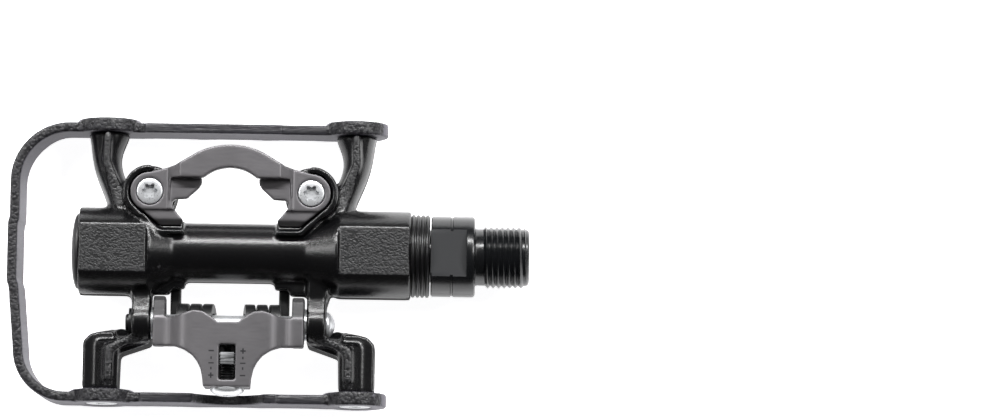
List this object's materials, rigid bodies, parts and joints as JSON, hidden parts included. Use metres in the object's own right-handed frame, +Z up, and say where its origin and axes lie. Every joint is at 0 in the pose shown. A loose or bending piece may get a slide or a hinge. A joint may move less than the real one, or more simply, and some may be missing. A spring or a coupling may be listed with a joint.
{
  "type": "clipless pedal",
  "caption": "Left clipless bicycle pedal: fixed toe claw and sprung heel hook on a cast body, with a flat cage round it and a threaded spindle.",
  "frame": {"origin": "on the spindle axis where the crank thread starts", "axes": "+X along the spindle towards the crank, +Y to the toe, +Z up on the cleat side"},
  "size_m": [0.1195, 0.0653, 0.0214],
  "materials": {
    "body_coat": "semi-gloss black coating on cast aluminium, fine orange peel",
    "cage_anodised": "blasted black anodising, rubbed lighter on the tread edges",
    "plate_steel": "gunmetal satin steel with faint drawn lines",
    "bright_zinc": "bright zinc plating",
    "spring_black": "black oiled spring wire",
    "spindle_black": "black oxide on turned steel",
    "boot_rubber": "matte black rubber",
    "cap_plastic": "matte black moulding",
    "bearing_steel": "polished bearing steel",
    "bush_bronze": "sintered bronze",
    "retainer_brass": "stamped brass"
  },
  "bodies": {
    "pedal": {"pedal_body": "body_coat", "cage": "cage_anodised", "cage_screws_front": "bright_zinc", "cage_screws_rear": "bright_zinc", "front_cleat_plate": "plate_steel", "front_plate_screws": "bright_zinc", "torsion_spring_outboard": "spring_black", "torsion_spring_inboard": "spring_black", "pivot_pin": "bright_zinc", "pivot_clip": "spring_black", "pivot_washers": "bright_zinc", "boot_seal": "boot_rubber", "lip_seal": "boot_rubber", "spindle_bush": "bush_bronze", "bearing_outer_ring": "bearing_steel", "bearing_clip": "spring_black", "end_cap": "cap_plastic", "cap_o_ring": "boot_rubber"},
    "spindle": {"spindle": "spindle_black", "bearing_inner_ring": "bearing_steel", "lock_washer": "bright_zinc", "spindle_locknut": "bright_zinc"},
    "balls": {"bearing_balls": "bearing_steel", "ball_retainer": "retainer_brass"},
    "hook": {"rear_hook": "plate_steel"},
    "screw": {"tension_screw": "bright_zinc"},
    "nut": {"tension_nut": "bright_zinc", "spring_plate": "spring_black"}
  },
  "joints": [
    {"name": "spindle_spin", "type": "hinge", "parent": "pedal", "child": "spindle", "pos_m": [0, 0, 0], "axis": [1, 0, 0], "continuous": true},
    {"name": "bearing_roll", "type": "hinge", "parent": "pedal", "child": "balls", "pos_m": [0, 0, 0], "axis": [1, 0, 0], "continuous": true},
    {"name": "hook_swing", "type": "hinge", "parent": "pedal", "child": "hook", "pos_m": [-0.0582, -0.0163, 0.001], "axis": [1, 0, 0], "range_deg": [0, 14], "stiffness_Nm_per_rad": 2, "springref_deg": -17.19, "deforming": ["torsion_spring_outboard", "torsion_spring_inboard"]},
    {"name": "tension_turn", "type": "hinge", "parent": "hook", "child": "screw", "pos_m": [-0.0582, -0.0315, 0.0051], "axis": [0, 1, 0], "range_deg": [-720, 720]},
    {"name": "nut_travel", "type": "slide", "parent": "hook", "child": "nut", "axis": [0, -1, 0], "range_m": [-0.0012, 0.0012]}
  ],
  "couplings": [
    {"joint": "bearing_roll", "follows": "spindle_spin", "ratio": 0.4091},
    {"joint": "tension_turn", "follows": "nut_travel", "rad_per_m": 10472}
  ]
}
